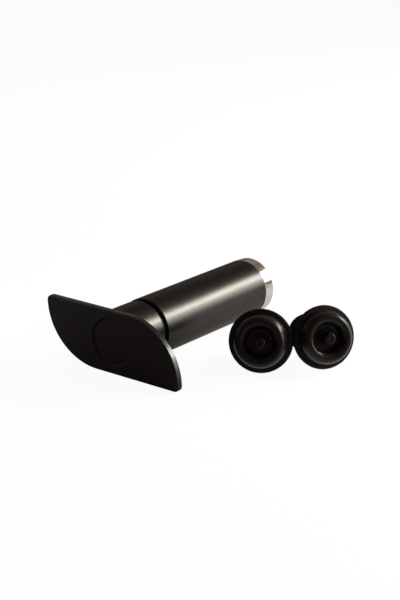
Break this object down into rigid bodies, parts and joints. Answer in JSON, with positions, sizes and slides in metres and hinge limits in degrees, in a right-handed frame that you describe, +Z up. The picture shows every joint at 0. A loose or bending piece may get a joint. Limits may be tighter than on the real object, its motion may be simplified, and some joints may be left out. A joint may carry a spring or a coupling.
{
  "type": "wine vacuum pump",
  "caption": "Hand vacuum pump for wine bottles, with a leaf-shaped handle plate, a satin metal barrel and ribbed rubber stoppers that have release valves.",
  "frame": {"origin": "on the table, in the middle of the box round the pump and its stoppers", "axes": "+Z up, +Y from the handle plate towards the mouth in plan, +X along the plate towards the stoppers"},
  "size_m": [0.1522, 0.1302, 0.0372],
  "materials": {
    "soft_touch_black": "soft-touch moulded",
    "gunmetal_aluminium": "satin anodised",
    "polished_steel": "mirror polished",
    "black_plastic": "moulded",
    "natural_nylon": "moulded",
    "clear_grey_plastic": "moulded",
    "rod_steel": "ground and polished",
    "screw_steel": "zinc plated",
    "seal_rubber": "moulded",
    "stopper_rubber": "satin moulded",
    "valve_rubber": "satin moulded"
  },
  "bodies": {
    "barrel": {"barrel_sleeve": "gunmetal_aluminium", "end_ring": "polished_steel", "mouth_cup": "black_plastic", "mouth_seal": "seal_rubber", "cylinder": "clear_grey_plastic", "guide_cap": "black_plastic", "bumper_ring": "seal_rubber", "passage_gasket": "seal_rubber"},
    "bush": {"rod_bush": "natural_nylon"},
    "handle": {"handle_plate": "soft_touch_black", "screw_cover": "soft_touch_black", "handle_screw": "screw_steel", "handle_washer": "screw_steel", "neck_sleeve": "gunmetal_aluminium", "handle_core": "black_plastic", "piston_rod": "rod_steel", "piston_head": "black_plastic", "piston_screw": "screw_steel"},
    "ring": {"piston_ring": "seal_rubber"},
    "inlet": {"inlet_valve": "valve_rubber"},
    "stopper_a": {"stopper_a": "stopper_rubber"},
    "nub_a": {"stopper_a_valve": "valve_rubber"},
    "stopper_b": {"stopper_b": "stopper_rubber"},
    "nub_b": {"stopper_b_valve": "valve_rubber"}
  },
  "joints": [
    {"name": "handle_turn", "type": "hinge", "parent": "barrel", "child": "bush", "pos_m": [-0.02794, -0.03734, 0.01837], "axis": [0, 1, -0.0093], "continuous": true},
    {"name": "handle_pull", "type": "slide", "parent": "bush", "child": "handle", "axis": [0, -1, 0.0093], "range_m": [0, 0.0571]},
    {"name": "piston_ring_shift", "type": "slide", "parent": "handle", "child": "ring", "axis": [0, 1, -0.0093], "range_m": [0, 0.0008]},
    {"name": "inlet_valve_lift", "type": "slide", "parent": "barrel", "child": "inlet", "axis": [0, -1, 0.0093], "range_m": [0, 0.0008], "stiffness_N_per_m": 120},
    {"name": "stopper_a_lift", "type": "slide", "parent": "barrel", "child": "stopper_a", "axis": [0, 0, 1], "range_m": [0, 0.12]},
    {"name": "stopper_a_press", "type": "slide", "parent": "stopper_a", "child": "nub_a", "axis": [-0.5066, 0.8266, -0.245], "range_m": [0, 0.0015], "stiffness_N_per_m": 1500},
    {"name": "stopper_b_lift", "type": "slide", "parent": "barrel", "child": "stopper_b", "axis": [0, 0, 1], "range_m": [0, 0.12]},
    {"name": "stopper_b_press", "type": "slide", "parent": "stopper_b", "child": "nub_b", "axis": [-0.8, 0.5477, -0.245], "range_m": [0, 0.0015], "stiffness_N_per_m": 1500}
  ]
}
